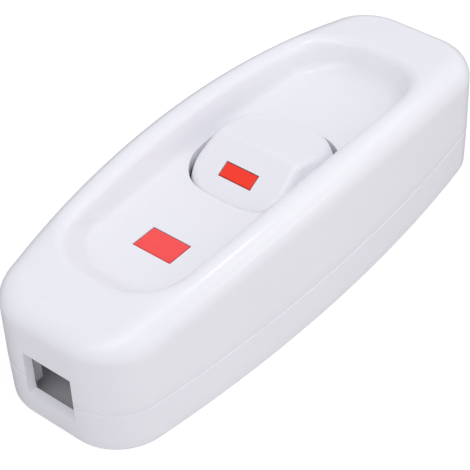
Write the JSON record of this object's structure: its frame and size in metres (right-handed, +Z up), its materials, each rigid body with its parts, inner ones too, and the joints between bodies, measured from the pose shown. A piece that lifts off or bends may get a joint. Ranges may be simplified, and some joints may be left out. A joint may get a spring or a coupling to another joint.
{
  "type": "inline cord switch",
  "caption": "Inline cord switch: white two-shell body with a dished top, a roof-shaped rocker with red marks, and a rectangular cord mouth in each end.",
  "frame": {"origin": "middle of the flat underside, on the surface it stands on", "axes": "+X along the cord towards the far end, +Y across, +Z up out of the dish"},
  "size_m": [0.088, 0.032, 0.0238],
  "materials": {
    "white_shell": "moulded gloss white",
    "white_rocker": "moulded gloss white",
    "red_mark": "red inlay",
    "natural_nylon": "natural nylon",
    "spring_steel": "drawn wire",
    "sheet_brass": "pressed sheet",
    "turned_brass": "drawn bar",
    "contact_silver": "silver alloy",
    "zinc_screw": "zinc plated",
    "clamp_plastic": "moulded matt"
  },
  "bodies": {
    "housing": {"upper_housing": "white_shell", "lower_housing": "white_shell", "dish_mark": "red_mark", "fixed_contact": "contact_silver", "fulcrum_strip": "sheet_brass", "fixed_contact_strip": "sheet_brass", "near_terminal_block": "turned_brass", "far_terminal_block": "turned_brass", "neutral_block": "turned_brass", "terminal_screws": "zinc_screw", "near_cord_clamp": "clamp_plastic", "far_cord_clamp": "clamp_plastic", "clamp_screws": "zinc_screw", "housing_screws": "zinc_screw"},
    "rocker": {"rocker": "white_rocker", "rocker_mark": "red_mark", "plunger_spring": "spring_steel"},
    "plunger": {"plunger": "natural_nylon"},
    "see_saw": {"contact_bridge": "sheet_brass", "moving_contact": "contact_silver"}
  },
  "joints": [
    {"name": "rocker_hinge", "type": "hinge", "parent": "housing", "child": "rocker", "pos_m": [0.0033, 0, 0.01306], "axis": [0, 1, 0], "range_deg": [0, 18.8]},
    {"name": "see_saw_hinge", "type": "hinge", "parent": "housing", "child": "see_saw", "pos_m": [0.0033, 0, 0.00587], "axis": [0, 1, 0], "range_deg": [-16, 0]},
    {"name": "plunger_slide", "type": "slide", "parent": "rocker", "child": "plunger", "axis": [-0.1633, 0, 0.9866], "range_m": [0, 0.0006], "stiffness_N_per_m": 400, "springref_m": -0.002, "deforming": ["plunger_spring"]}
  ],
  "couplings": [
    {"joint": "see_saw_hinge", "follows": "rocker_hinge", "ratio": -0.851}
  ]
}
